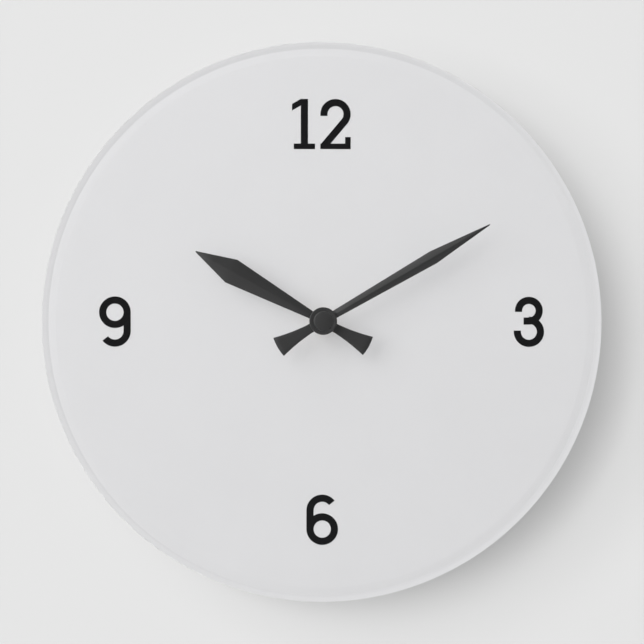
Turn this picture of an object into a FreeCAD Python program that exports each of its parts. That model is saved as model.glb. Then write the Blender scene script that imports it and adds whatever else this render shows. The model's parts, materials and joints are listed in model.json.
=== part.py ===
import FreeCAD, Part
import math
import os

from FreeCAD import Placement, Rotation, Vector

# A frameless wall clock: a clear acrylic disc, printed white on its back, clamped on the threaded
# bush of a battery quartz movement. Lengths are in millimetres and angles in degrees.
#
# Every piece is drawn with the clock lying on its back: X to the right, Y towards twelve o'clock,
# and Z out of the wall towards the viewer. z = 0 is the wall, and the hands turn about x = y = 0.
# save() then stands each piece up, so that in the finished part Z is up and the dial faces -Y.

# ---------------------------------------------------------------- clearances
running_fit = 0.06          # radial clearance of an arbor in its bearing
air = 0.4                   # smallest gap between pieces that pass each other
seam = 0.1                  # gap between mouldings that locate each other

# ---------------------------------------------------------------- disc and its fixing
disc_diameter = 273.05
disc_thickness = 6.35
disc_bore_clearance = 0.25  # round the bush, on the radius
front_edge_radius = 2.9
rounding_steps = 3          # narrow cones that a turned rounding is made of
cushion_diameter = 24.0
cushion_thickness = 1.0
washer_diameter = 12.0
washer_thickness = 0.6
nut_wall = 1.3              # at the flats
nut_height = 2.4
bush_end_above_nut = 0.4
nut_chamfer = 0.3

# ---------------------------------------------------------------- hand arbors, from the inside out
second_arbor_diameter = 1.0
minute_tube_wall = 1.19
hour_pipe_wall = 0.69
bush_wall = 1.39
bush_collar_width = 1.3
bush_collar_thickness = 0.6

# ---------------------------------------------------------------- hands and cap
minute_hand_angle = 59.9    # clockwise from twelve
hour_hand_angle = 298.7
hand_sheet = 0.5
hand_hub_diameter = 11.6
hand_root_radius = 7.8      # where the root widths are measured, just outside the cap
tail_length = 25.4
tail_root_width = 4.5
tail_end_width = 9.9
tail_side_hollow = 0.42     # how far the tail's sides bow inwards
tail_end_corner = 0.4
ridge_full_radius = 11.0    # where the blade's ridge reaches its full slope
hand_tip_width = 0.5

minute_hand_length = 93.8
minute_hand_root_width = 4.0
minute_hand_broad_radius = 62.0
minute_hand_broad_width = 6.6
minute_hand_ridge_slope = 0.26

hour_hand_length = 70.5
hour_hand_root_width = 4.2
hour_hand_broad_radius = 50.7
hour_hand_broad_width = 12.4
hour_hand_ridge_slope = 0.17

collet_wall = 0.9
collet_flange_width = 0.8
collet_flange_thickness = 0.9
collet_rivet_height = 0.3
hands_apart = 0.9           # from the hour hand's ridge to the minute hand's underside

cap_diameter = 13.46
cap_shoulder_height = 2.6
cap_shoulder_radius = 1.1
cap_top_diameter = 9.6
cap_top_height = 1.0
cap_top_bevel = 0.45
cap_roof = 0.8

# ---------------------------------------------------------------- battery
cell_diameter = 14.2
cell_length = 50.5          # with its nub
cell_nub_diameter = 5.4
cell_nub_height = 1.0
cell_depth_below_back = 0.8
bay_clearance = 0.4
contact_sheet = 0.4
positive_contact_room = 0.9
negative_contact_room = 1.9
contact_width = 8.0
contact_strip_width = 3.0

# ---------------------------------------------------------------- movement case
wall = 1.4
floor_thickness = 1.4
cover_thickness = 1.2
partition_thickness = 1.2
case_corner_radius = 3.0
lip_thickness = 0.8
lip_height = 1.0
snap_width = 6.0
snap_length = 4.4
snap_catch = 0.7
boss_height = 0.6
boss_wall = 0.9
post_width = 3.2
board_post_inset = 6.5
pin_diameter = 1.6
finger_notch_radius = 7.0
hanger_width = 20.0
hanger_above_case = 10.0
hanger_sheet = 1.0
hanger_overlap = 6.2
hanger_slot_width = 9.0
hanger_slot_height = 5.4
hanger_notch_radius = 1.6
hanger_stud_diameter = 2.4
hanger_stud_spacing = 12.0

# ---------------------------------------------------------------- going train and motion work
rotor_teeth = 8
fifth_teeth = 48
fifth_pinion_teeth = 8
second_teeth = 40
second_pinion_teeth = 8
third_teeth = 60
third_pinion_teeth = 8
centre_teeth = 64
cannon_teeth = 10
minute_teeth = 30
minute_pinion_teeth = 8
hour_teeth = 32
knob_teeth = 10

rotor_to_fifth = 8.4        # centre distances
centre_to_third = 9.0
motion_distance = 10.0

fifth_direction = 190.0     # directions of the arbors, anticlockwise from X
rotor_direction = 110.0     # seen from the fifth arbor
third_direction = 60.0
minute_direction = -5.0
knob_direction = 20.0       # seen from the minute wheel

train_arbor_diameter = 0.9
wheel_thickness = 0.7
motion_wheel_thickness = 0.8
stud_diameter = 1.8

wheel_addendum = 1.0        # in modules
wheel_dedendum = 1.2
leaf_addendum = 0.8
leaf_dedendum = 1.3
wheel_tip_share = 0.24      # tooth thickness as a share of the circular pitch
wheel_root_share = 0.62
leaf_tip_share = 0.20
leaf_root_share = 0.46

bridge_thickness = 1.0
clutch_height = 0.6
clutch_sheet = 0.2

# ---------------------------------------------------------------- motor, board and knob
magnet_diameter = 5.2
magnet_height = 1.8
stator_thickness = 1.0
stator_hole_clearance = 0.6
stator_ring_width = 1.4
stator_strip_width = 4.0
core_width = 3.0
coil_length = 18.0
bobbin_flange = 8.4
bobbin_flange_thickness = 0.8
bobbin_wall = 0.8
winding_inset = 0.5

board_thickness = 1.0
board_width = 8.0
chip_diameter = 5.6
chip_top_diameter = 3.4
chip_height = 1.2
crystal_diameter = 2.0
crystal_length = 6.0
crystal_lead_width = 0.3
crystal_lead_length = 2.2

knob_diameter = 12.4
knob_height = 3.2
knob_below_back = 0.4
knob_flutes = 20
knob_flute_depth = 0.6
knob_dish_diameter = 7.0
knob_dish_depth = 0.5
knob_stem_diameter = 2.6
well_clearance = 0.5
well_wall = 1.2


# ---------------------------------------------------------------- sizes that follow
def module(distance, teeth_a, teeth_b):
    """Module of two gears that mesh at this centre distance."""
    return 2 * distance / (teeth_a + teeth_b)


def polar(radius, direction, start=Vector(0, 0, 0)):
    """Point at a distance and direction from another, in the plane of the dial."""
    angle = math.radians(direction)
    return start + Vector(radius * math.cos(angle), radius * math.sin(angle), 0)


def wheel_tip_radius(teeth, size):
    return size * (teeth / 2 + wheel_addendum)


# Radii of the nested arbors
second_arbor_r = second_arbor_diameter / 2
minute_bore_r = second_arbor_r + running_fit
minute_arbor_r = minute_bore_r + minute_tube_wall
hour_bore_r = minute_arbor_r + running_fit
hour_pipe_r = hour_bore_r + hour_pipe_wall
bush_bore_r = hour_pipe_r + running_fit
bush_r = bush_bore_r + bush_wall
train_arbor_r = train_arbor_diameter / 2
train_bearing_r = train_arbor_r + running_fit

# Modules
third_module = module(centre_to_third, second_pinion_teeth, third_teeth)
centre_module = module(centre_to_third, third_pinion_teeth, centre_teeth)
minute_module = module(motion_distance, cannon_teeth, minute_teeth)
hour_module = module(motion_distance, minute_pinion_teeth, hour_teeth)
centre_wheel_r = wheel_tip_radius(centre_teeth, centre_module)
centre_to_fifth = centre_wheel_r + train_arbor_r + 1.75 * air
fifth_module = module(rotor_to_fifth, rotor_teeth, fifth_teeth)
second_module = module(centre_to_fifth, fifth_pinion_teeth, second_teeth)
fifth_wheel_r = wheel_tip_radius(fifth_teeth, fifth_module)
third_wheel_r = wheel_tip_radius(third_teeth, third_module)
minute_wheel_r = wheel_tip_radius(minute_teeth, minute_module)

# Places of the arbors
centre = Vector(0, 0, 0)
fifth_at = polar(centre_to_fifth, fifth_direction)
rotor_at = polar(rotor_to_fifth, rotor_direction, fifth_at)
third_at = polar(centre_to_third, third_direction)
minute_at = polar(motion_distance, minute_direction)
knob_at = polar(motion_distance, knob_direction, minute_at)

# Levels inside the case, from the wall outwards
boss_top = floor_thickness + boss_height
second_wheel_z = boss_top + air
fifth_wheel_z = second_wheel_z + wheel_thickness + air
fifth_wheel_top = fifth_wheel_z + wheel_thickness
rotor_pinion_z = fifth_wheel_z - air / 2
well_floor_z = knob_below_back + knob_height + air
well_top = well_floor_z + well_wall
third_wheel_z = max(well_top, fifth_wheel_top) + air
third_wheel_top = third_wheel_z + wheel_thickness
second_pinion_top = third_wheel_top + air / 2
bobbin_z = floor_thickness + 0.8 * air
stator_z = max(fifth_wheel_top + 0.6 * air + (magnet_height - stator_thickness) / 2,
               bobbin_z + bobbin_flange / 2 - stator_thickness)
stator_top = stator_z + stator_thickness
core_top = stator_top + stator_thickness
coil_axis_z = (stator_top + core_top) / 2
magnet_z = stator_z + (stator_thickness - magnet_height) / 2
minute_arbor_z = second_pinion_top + air
centre_wheel_z = minute_arbor_z + air
centre_wheel_top = centre_wheel_z + wheel_thickness
bridge_z = max(centre_wheel_top + clutch_height, core_top + boss_height) + air
bridge_top = bridge_z + bridge_thickness
cannon_z = bridge_top + air
minute_wheel_z = cannon_z + air
minute_wheel_top = minute_wheel_z + motion_wheel_thickness
cannon_top = minute_wheel_top + air / 2
hour_wheel_z = cannon_top + air
hour_wheel_top = hour_wheel_z + motion_wheel_thickness
minute_pinion_top = hour_wheel_top + air / 2
train_height = minute_pinion_top + 2 * air
cell_height = cell_depth_below_back + cell_diameter + 0.75 * air
cover_z = max(train_height, cell_height)
case_depth = cover_z + cover_thickness
hour_hub_top = cover_z - air

# Levels in front of the case
disc_z = case_depth + cushion_thickness
disc_front = disc_z + disc_thickness
nut_z = disc_front + washer_thickness
nut_top = nut_z + nut_height
bush_top = nut_top + bush_end_above_nut
hour_collet_z = bush_top + air
hour_hand_z = hour_collet_z + collet_flange_thickness
hour_collet_top = hour_hand_z + hand_sheet + collet_rivet_height
hour_ridge_top = hour_hand_z + hand_sheet + hour_hand_ridge_slope * hour_hand_broad_width / 2
minute_hand_z = max(hour_ridge_top + hands_apart, hour_collet_top + air + collet_flange_thickness)
minute_collet_z = minute_hand_z - collet_flange_thickness
minute_collet_top = minute_hand_z + hand_sheet + collet_rivet_height
cap_z = minute_collet_top
cap_top = cap_z + cap_shoulder_height + cap_top_height
cap_socket_top = cap_top - cap_roof
minute_arbor_top = cap_socket_top - air
second_arbor_top = minute_arbor_top

# Plan of the case
coil_x = rotor_at.x - magnet_diameter / 2 - stator_hole_clearance - stator_ring_width \
    - 1.4 * air - bobbin_flange / 2
coil_low = rotor_at.y - coil_length / 2
coil_high = rotor_at.y + coil_length / 2
lug_low = coil_low - stator_strip_width / 2 - seam
lug_high = coil_high + stator_strip_width / 2 + seam
train_low = min(fifth_at.y - fifth_wheel_r, minute_at.y - minute_wheel_r, -centre_wheel_r)
partition_top = train_low - 1.3 * air
partition_low = partition_top - partition_thickness
cell_y = partition_low - bay_clearance - cell_diameter / 2
inner_low = cell_y - cell_diameter / 2 - bay_clearance
board_low = max(third_at.y + third_wheel_r, lug_high - stator_strip_width / 2,
                knob_at.y + knob_diameter / 2 + well_clearance + well_wall) + air
inner_high = board_low + board_width + air
cell_room = cell_length + positive_contact_room + negative_contact_room
knob_well_r = knob_diameter / 2 + well_clearance
inner_right = max(cell_room / 2, knob_at.x + knob_well_r + 2 * air)
inner_left = min(inner_right - cell_room, coil_x - bobbin_flange / 2 - contact_sheet - air)
cell_right = inner_right - positive_contact_room
case_left = inner_left - wall
case_right = inner_right + wall
case_low = inner_low - wall
case_high = inner_high + wall
strip_z = well_top + 2 * air
board_z = core_top + boss_height + air

# Posts that stand on the case's floor
pin_r = pin_diameter / 2
post_reach = post_width / math.sqrt(2)
bridge_left = coil_x + bobbin_flange / 2 + 4 * air
bridge_right = knob_at.x + knob_stem_diameter / 2 + 5 * air
bridge_low = partition_top + air
bridge_high = board_low - 2 * air
bridge_posts = (
    polar(centre_wheel_r + post_reach + 5 * air, -33.5),
    polar(third_wheel_r + post_reach + air, 142, third_at),
    polar(third_wheel_r + post_reach + 4 * air, 28, third_at),
)
board_y = inner_high - board_width / 2
board_posts = (
    Vector(inner_left + board_post_inset, inner_high - post_width, 0),
    Vector(inner_right - board_post_inset, inner_high - post_width, 0),
)
stator_posts = (Vector(coil_x, lug_low, 0), Vector(coil_x, lug_high, 0))
hanger_studs = [Vector(side * hanger_stud_spacing / 2, case_high - hanger_overlap / 2, 0) for side in (-1, 1)]
snap_centres = (0.25 * inner_high, 0.75 * inner_high)


# ---------------------------------------------------------------- shapes
def cylinder(radius, low, high, at=centre):
    return Part.makeCylinder(radius, high - low, Vector(at.x, at.y, low))


def tube(outer, inner, low, high, at=centre):
    return cylinder(outer, low, high, at).cut(cylinder(inner, low, high, at))


def block(left, right, low_y, high_y, low, high):
    return Part.makeBox(right - left, high_y - low_y, high - low, Vector(left, low_y, low))


def upright_edges(shape):
    """Straight edges along Z."""
    found = []
    for edge in shape.Edges:
        a, b = edge.Vertexes[0].Point, edge.Vertexes[-1].Point
        if abs(a.x - b.x) < 1e-6 and abs(a.y - b.y) < 1e-6 and abs(a.z - b.z) > 1e-6:
            found.append(edge)
    return found


def rounded_block(left, right, low_y, high_y, low, high, corner):
    shape = block(left, right, low_y, high_y, low, high)
    return shape.makeFillet(corner, upright_edges(shape))


def rim_edges(shape, level):
    """Edges that lie wholly at one level."""
    return [e for e in shape.Edges if abs(e.BoundBox.ZMin - level) < 1e-6 and abs(e.BoundBox.ZMax - level) < 1e-6]


def polygon_face(corners):
    return Part.Face(Part.makePolygon(corners + corners[:1]))


def turned(outline):
    """Solid turned about Z from a closed outline of (radius, level) points."""
    face = polygon_face([Vector(radius, 0, level) for radius, level in outline])
    return face.revolve(centre, Vector(0, 0, 1), 360)


def rounded_rim(radius, level, rounding):
    """Outline points that round the outer edge of a turned piece's front face."""
    points = []
    for step in range(rounding_steps + 1):
        angle = math.radians(90 * step / rounding_steps)
        points.append((radius - rounding * (1 - math.cos(angle)), level - rounding * (1 - math.sin(angle))))
    return points


def polygon_prism(points, low, high):
    return polygon_face([Vector(p.x, p.y, low) for p in points]).extrude(Vector(0, 0, high - low))


def faceted_solid(sections):
    """Solid through matching polygons, with flat triangles between them."""
    faces = [polygon_face(sections[0]), polygon_face(sections[-1])]
    for near, far in zip(sections, sections[1:]):
        for i, corner in enumerate(near):
            j = (i + 1) % len(near)
            faces.append(polygon_face([corner, near[j], far[j]]))
            faces.append(polygon_face([corner, far[j], far[i]]))
    solid = Part.Solid(Part.Shell(faces))
    if solid.Volume < 0:
        solid.reverse()
    return solid


def joined(shapes):
    return shapes[0].multiFuse(shapes[1:]).removeSplitter()


# ---------------------------------------------------------------- gears
def meshing_phase(phase, teeth, other_teeth, direction):
    """Phase of the other gear, which lies in this direction, so that its gap meets this gear's tooth."""
    return direction + 180 - (phase - direction) * teeth / other_teeth + 180 / other_teeth


def toothed_outline(teeth, size, stations, phase, at):
    """Corners of a gear. Each station is (radius in modules from the pitch circle, tooth share)."""
    pitch_radius = size * teeth / 2
    circular_pitch = math.pi * size
    half_tooth = []
    for height, share in stations:
        radius = pitch_radius + height * size
        half_tooth.append((radius, math.degrees(math.asin(share * circular_pitch / 2 / radius))))
    corners = []
    for tooth in range(teeth):
        middle = phase + 360 * tooth / teeth
        corners += [polar(radius, middle - half, at) for radius, half in half_tooth]
        corners += [polar(radius, middle + half, at) for radius, half in reversed(half_tooth)]
    return corners


def wheel(teeth, size, low, thickness, phase, at=centre):
    stations = ((-wheel_dedendum, wheel_root_share), (wheel_addendum, wheel_tip_share))
    return polygon_prism(toothed_outline(teeth, size, stations, phase, at), low, low + thickness)


def pinion(teeth, size, low, high, phase, at=centre):
    stations = ((-leaf_dedendum, leaf_root_share), (leaf_addendum, leaf_tip_share))
    return polygon_prism(toothed_outline(teeth, size, stations, phase, at), low, high)


def pierced(shape, radius, at=centre):
    """The shape with a hole along Z right through it."""
    box = shape.BoundBox
    return shape.cut(cylinder(radius, box.ZMin - 1, box.ZMax + 1, at))


# ---------------------------------------------------------------- disc and fixings
def make_disc():
    """Clear disc with a polished, rounded front edge."""
    bore = bush_r + disc_bore_clearance
    rim = rounded_rim(disc_diameter / 2, disc_front, front_edge_radius)
    return turned([(bore, disc_z), (disc_diameter / 2, disc_z)] + rim + [(bore, disc_front)])


def make_cushion_washer():
    return tube(cushion_diameter / 2, bush_r + disc_bore_clearance, case_depth, disc_z)


def make_dial_washer():
    return tube(washer_diameter / 2, bush_r, disc_front, nut_z)


def make_nut():
    corner_radius = (bush_r + nut_wall) / math.cos(math.radians(30))
    prism = polygon_prism([polar(corner_radius, 60 * side) for side in range(6)], nut_z, nut_top)
    crown = turned([
        (0, nut_z),
        (corner_radius, nut_z),
        (corner_radius, nut_top - nut_chamfer),
        (corner_radius - 2 * nut_chamfer, nut_top),
        (0, nut_top),
    ])
    return pierced(prism.common(crown), bush_r)


# ---------------------------------------------------------------- hands
def hand_section(x, half_width, rise):
    """Corners of the folded sheet across the blade: its middle stands the rise above its edges."""
    return [
        Vector(x, half_width, 0),
        Vector(x, half_width, hand_sheet),
        Vector(x, 0, hand_sheet + rise),
        Vector(x, -half_width, hand_sheet),
        Vector(x, -half_width, 0),
        Vector(x, 0, rise),
    ]


def hand_blade(length, root_width, broad_radius, broad_width, ridge_slope):
    """Pressed blade along +X, widest at the broad radius and folded along its middle."""
    widening = (broad_width - root_width) / (broad_radius - hand_root_radius)

    def half_width(x):
        return (root_width + widening * (x - hand_root_radius)) / 2

    hub_x = hand_hub_diameter / 2 - air
    full_half = half_width(ridge_full_radius)
    return faceted_solid([
        hand_section(hub_x, half_width(hub_x), 0),
        hand_section(ridge_full_radius, full_half, ridge_slope * full_half),
        hand_section(broad_radius, broad_width / 2, ridge_slope * broad_width / 2),
        hand_section(length, hand_tip_width / 2, ridge_slope * hand_tip_width / 2),
    ])


def hand_tail():
    """Flat tail along -X: its sides flare in hollow curves and its end is an arc about the hub."""
    half_end = tail_end_width / 2
    end_x = -math.sqrt(tail_length ** 2 - half_end ** 2)
    root = Vector(-hand_root_radius, tail_root_width / 2, 0)
    corner = Vector(end_x, half_end, 0)
    middle = (root + corner) / 2 - Vector(0, tail_side_hollow, 0)
    mirrored = [Vector(p.x, -p.y, 0) for p in (root, middle, corner)]
    neck = Vector(0, tail_root_width / 2, 0)
    neck_mirrored = Vector(0, -tail_root_width / 2, 0)
    edges = [
        Part.LineSegment(neck, root).toShape(),
        Part.Arc(root, middle, corner).toShape(),
        Part.Arc(corner, Vector(-tail_length, 0, 0), mirrored[2]).toShape(),
        Part.Arc(mirrored[2], mirrored[1], mirrored[0]).toShape(),
        Part.LineSegment(mirrored[0], neck_mirrored).toShape(),
        Part.LineSegment(neck_mirrored, neck).toShape(),
    ]
    tail = Part.Face(Part.Wire(edges)).extrude(Vector(0, 0, hand_sheet))
    corners = [e for e in upright_edges(tail) if e.BoundBox.XMax < end_x + tail_end_corner]
    return tail.makeFillet(tail_end_corner, corners)


def make_hand(blade, bore_radius, level, clock_angle):
    hub = cylinder(hand_hub_diameter / 2, 0, hand_sheet)
    hand = pierced(joined([hub, hand_tail(), blade]), bore_radius)
    hand.Placement = Placement(Vector(0, 0, level), Rotation(Vector(0, 0, 1), 90 - clock_angle))
    return hand


def make_hour_hand():
    blade = hand_blade(hour_hand_length, hour_hand_root_width, hour_hand_broad_radius,
                       hour_hand_broad_width, hour_hand_ridge_slope)
    return make_hand(blade, hour_pipe_r + collet_wall, hour_hand_z, hour_hand_angle)


def make_minute_hand():
    blade = hand_blade(minute_hand_length, minute_hand_root_width, minute_hand_broad_radius,
                       minute_hand_broad_width, minute_hand_ridge_slope)
    return make_hand(blade, minute_arbor_r + collet_wall, minute_hand_z, minute_hand_angle)


def collet(bore_radius, low, hand_level):
    """Bush riveted into a hand: a flange under the sheet and a neck through it."""
    neck = bore_radius + collet_wall
    flange = neck + collet_flange_width
    top = hand_level + hand_sheet + collet_rivet_height
    return turned([
        (bore_radius, low),
        (flange, low),
        (flange, hand_level),
        (neck, hand_level),
        (neck, top),
        (bore_radius, top),
    ])


def make_cap():
    """Stepped cap, pressed on the end of the minute arbor and closed in front."""
    top_radius = cap_top_diameter / 2
    shoulder_top = cap_z + cap_shoulder_height
    rim = rounded_rim(cap_diameter / 2, shoulder_top, cap_shoulder_radius)
    return turned([(minute_arbor_r, cap_z), (cap_diameter / 2, cap_z)] + rim + [
        (top_radius, shoulder_top),
        (top_radius, cap_top - cap_top_bevel),
        (top_radius - cap_top_bevel, cap_top),
        (0, cap_top),
        (0, cap_socket_top),
        (minute_arbor_r, cap_socket_top),
    ])


# ---------------------------------------------------------------- movement case
def bearing_boss(at, radius):
    return cylinder(radius + boss_wall, floor_thickness / 2, boss_top, at)


def snap_window(side_x, outward, centre_y):
    """Slot through a side wall that a cover's catch springs into."""
    low = cover_z - snap_length
    x_values = sorted((side_x - outward, side_x + outward * (wall + 1)))
    return block(x_values[0], x_values[1], centre_y - snap_width / 2 - seam, centre_y + snap_width / 2 + seam,
                 low - seam, low + 2 * snap_catch + seam)


def post(at, top):
    half = post_width / 2
    return block(at.x - half, at.x + half, at.y - half, at.y + half, floor_thickness / 2, top)


def make_rear_case():
    """Moulded case: a chamber for the train, and under it a battery bay that is open at the back."""
    body = rounded_block(case_left, case_right, case_low, case_high, 0, cover_z, case_corner_radius)
    body = body.cut(block(inner_left, inner_right, partition_top, inner_high, floor_thickness, cover_z))
    body = body.cut(block(inner_left, inner_right, inner_low, partition_low, 0, cover_z))

    bearings = (centre, fifth_at, third_at, rotor_at)
    added = [bearing_boss(at, train_bearing_r) for at in bearings]
    added.append(cylinder(knob_well_r + well_wall, 0, well_top, knob_at))
    added += [post(at, board_z) for at in board_posts]
    for at in bridge_posts:
        added += [post(at, bridge_z), cylinder(pin_r, bridge_z, bridge_top, at)]
    for at in stator_posts:
        added += [post(at, stator_z), cylinder(pin_r, stator_z, core_top, at)]
    hanger_low = case_high - hanger_overlap
    added.append(block(-hanger_width / 2 - wall, hanger_width / 2 + wall, hanger_low - wall, inner_high + wall / 2,
                       floor_thickness / 2, hanger_sheet + floor_thickness))
    body = joined([body] + added)

    removed = [
        cylinder(knob_well_r, 0, well_floor_z, knob_at),
        cylinder(knob_stem_diameter / 2 + running_fit, well_floor_z, well_top, knob_at),
        block(-hanger_width / 2 - seam, hanger_width / 2 + seam, hanger_low - seam, case_high, 0, hanger_sheet),
        Part.makeCylinder(finger_notch_radius, inner_low - case_low,
                          Vector((case_left + case_right) / 2, case_low, 0), Vector(0, 1, 0)),
    ]
    for at in bearings:
        bearing_r = second_arbor_r + running_fit if at is centre else train_bearing_r
        removed.append(cylinder(bearing_r, floor_thickness / 2, boss_top, at))
    for side_x, outward in ((inner_left, -1), (inner_right, 1)):
        removed += [snap_window(side_x, outward, centre_y) for centre_y in snap_centres]
        strip = sorted((side_x, side_x - outward * contact_sheet))
        removed.append(block(strip[0], strip[1], partition_low, partition_top, strip_z,
                             strip_z + contact_strip_width))
    for shape in removed:
        body = body.cut(shape)
    return joined([body] + [cylinder(hanger_stud_diameter / 2, 0, hanger_sheet, at) for at in hanger_studs])


def snap_tongue(side_x, outward, centre_y):
    """Springy tongue of the cover, flat against a side wall, with a catch at its end."""
    low = cover_z - snap_length
    root, tip = centre_y - snap_width / 2, centre_y + snap_width / 2
    inner = side_x - outward * lip_thickness
    catch = side_x + outward * snap_catch
    profile = [
        Vector(inner, root, cover_z),
        Vector(side_x, root, cover_z),
        Vector(side_x, root, low + 2 * snap_catch),
        Vector(catch, root, low + 2 * snap_catch),
        Vector(side_x, root, low),
        Vector(inner, root, low),
    ]
    return Part.Face(Part.makePolygon(profile + profile[:1])).extrude(Vector(0, tip - root, 0))


def make_front_case():
    plate = rounded_block(case_left, case_right, case_low, case_high, cover_z, case_depth, case_corner_radius)
    plate = plate.makeChamfer(cover_thickness / 2, rim_edges(plate, case_depth))
    lip_low = cover_z - lip_height
    lip = block(inner_left + seam, inner_right - seam, partition_top + seam, inner_high - seam, lip_low, cover_z)
    inset = seam + lip_thickness
    lip = lip.cut(block(inner_left + inset, inner_right - inset, partition_top + inset, inner_high - inset,
                        lip_low, cover_z))
    shapes = [plate, lip]
    for side_x, outward in ((inner_left, -1), (inner_right, 1)):
        shapes += [snap_tongue(side_x, outward, centre_y) for centre_y in snap_centres]
    cover = pierced(joined(shapes), bush_r)
    return cover.cut(cylinder(bush_r + bush_collar_width, case_depth - bush_collar_thickness, case_depth))


def make_centre_bush():
    """Threaded bush, held in the cover by its collar."""
    collar = case_depth - bush_collar_thickness
    return turned([
        (bush_bore_r, cover_z),
        (bush_r, cover_z),
        (bush_r, collar),
        (bush_r + bush_collar_width, collar),
        (bush_r + bush_collar_width, case_depth),
        (bush_r, case_depth),
        (bush_r, bush_top),
        (bush_bore_r, bush_top),
    ])


def make_hanger():
    """Steel plate with a slot for the nail, notched so that the clock centres itself."""
    top = case_high + hanger_above_case
    plate = rounded_block(-hanger_width / 2, hanger_width / 2, case_high - hanger_overlap, top, 0,
                          hanger_sheet, hanger_width / 5)
    low = case_high + (hanger_above_case - hanger_slot_height) / 2 - hanger_notch_radius / 2
    high = low + hanger_slot_height
    slot = rounded_block(-hanger_slot_width / 2, hanger_slot_width / 2, low, high, 0, hanger_sheet,
                         hanger_slot_height / 4)
    notch = cylinder(hanger_notch_radius, 0, hanger_sheet, Vector(0, high, 0))
    plate = plate.cut(slot.fuse(notch))
    for at in hanger_studs:
        plate = pierced(plate, hanger_stud_diameter / 2, at)
    return plate


def make_train_bridge():
    """Bridge over the going train: upper bearings, and the stud that the minute wheel turns on."""
    plate = rounded_block(bridge_left, bridge_right, bridge_low, bridge_high, bridge_z, bridge_top, wall)
    plate = pierced(plate, minute_arbor_r + running_fit)
    for at in (fifth_at, third_at, rotor_at):
        plate = pierced(plate, train_bearing_r, at)
    plate = pierced(plate, knob_stem_diameter / 2 + running_fit, knob_at)
    for at in bridge_posts:
        plate = pierced(plate, pin_r, at)
    return joined([plate, cylinder(stud_diameter / 2, bridge_z, cover_z - seam, minute_at)])


# ---------------------------------------------------------------- motor
def make_rotor_magnet():
    return tube(magnet_diameter / 2, 2 * train_arbor_r, magnet_z, magnet_z + magnet_height, rotor_at)


def make_rotor_pinion():
    leaves = pinion(rotor_teeth, fifth_module, rotor_pinion_z, magnet_z, 0, rotor_at)
    sleeve = cylinder(2 * train_arbor_r, magnet_z, magnet_z + magnet_height, rotor_at)
    arbor = cylinder(train_arbor_r, floor_thickness / 2 + air / 2, bridge_top, rotor_at)
    return joined([leaves, sleeve, arbor])


def make_stator():
    """Soft iron plate: a ring round the rotor between two limbs that reach the coil core's ends."""
    hole_r = magnet_diameter / 2 + stator_hole_clearance
    half = stator_strip_width / 2
    right = rotor_at.x + half / 2
    strip = block(right - stator_strip_width, right, lug_low - half, lug_high + half, stator_z, stator_top)
    limbs = [block(coil_x - half, right, y - half, y + half, stator_z, stator_top) for y in (lug_low, lug_high)]
    ring = cylinder(hole_r + stator_ring_width, stator_z, stator_top, rotor_at)
    plate = pierced(joined([strip, ring] + limbs), hole_r, rotor_at)
    for direction in (60, 240):
        notch_at = polar(hole_r, direction, rotor_at)
        plate = pierced(plate, stator_hole_clearance / 2, notch_at)
    for at in stator_posts:
        plate = pierced(plate, pin_r, at)
    return plate


def make_coil_core():
    """Soft iron strip through the coil, with wider ends that lie on the stator's limbs."""
    half, wide = core_width / 2, stator_strip_width / 2
    core = [block(coil_x - half, coil_x + half, lug_low, lug_high, stator_top, core_top)]
    core += [block(coil_x - wide, coil_x + wide, y - wide, y + wide, stator_top, core_top)
             for y in (lug_low, lug_high)]
    core = joined(core)
    for at in stator_posts:
        core = pierced(core, pin_r, at)
    return core


def coil_square(half_x, half_z, low_y, high_y):
    """Block round the coil's axis, which runs along Y."""
    return block(coil_x - half_x, coil_x + half_x, low_y, high_y, coil_axis_z - half_z, coil_axis_z + half_z)


def make_coil_bobbin():
    half_x, half_z = core_width / 2 + bobbin_wall, stator_thickness / 2 + bobbin_wall
    spool = coil_square(half_x, half_z, coil_low, coil_high)
    half_flange = bobbin_flange / 2
    flanges = [coil_square(half_flange, half_flange, low, low + bobbin_flange_thickness)
               for low in (coil_low, coil_high - bobbin_flange_thickness)]
    core = coil_square(core_width / 2, stator_thickness / 2, coil_low - 1, coil_high + 1)
    return joined([spool] + flanges).cut(core)


def make_coil_winding():
    low = coil_low + bobbin_flange_thickness
    high = coil_high - bobbin_flange_thickness
    half = bobbin_flange / 2 - winding_inset
    turns = coil_square(half, half, low, high)
    along = [e for e in turns.Edges if e.BoundBox.YLength > coil_length / 2]
    turns = turns.makeFillet(half / 2, along)
    return turns.cut(coil_square(core_width / 2 + bobbin_wall, stator_thickness / 2 + bobbin_wall, low, high))


# ---------------------------------------------------------------- board and contacts
def make_circuit_board():
    return block(inner_left + 3 * air, inner_right - 3 * air, inner_high - board_width, inner_high - air,
                 board_z, board_z + board_thickness)


def chip_at():
    return Vector(board_posts[0].x + 1.6 * chip_diameter, board_y, 0)


def make_ic_blob():
    """Drop of resin over the chip."""
    base = board_z + board_thickness
    blob = turned([(0, base), (chip_diameter / 2, base), (chip_top_diameter / 2, base + chip_height),
                   (0, base + chip_height)])
    blob.translate(chip_at())
    return blob


def make_quartz_crystal():
    """Metal can lying on the board, with its two leads bent down to it."""
    base = board_z + board_thickness
    radius = crystal_diameter / 2
    left = chip_at().x + chip_diameter
    end = left + crystal_length
    tip = end + crystal_lead_length
    half = crystal_lead_width / 2
    shapes = [Part.makeCylinder(radius, crystal_length, Vector(left, board_y, base + radius), Vector(1, 0, 0))]
    for y in (board_y - radius / 2, board_y + radius / 2):
        shapes.append(block(end - half, tip, y - half, y + half, base + radius - half, base + radius + half))
        shapes.append(block(tip - 2 * half, tip, y - half, y + half, base, base + radius + half))
    return joined(shapes)


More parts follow.
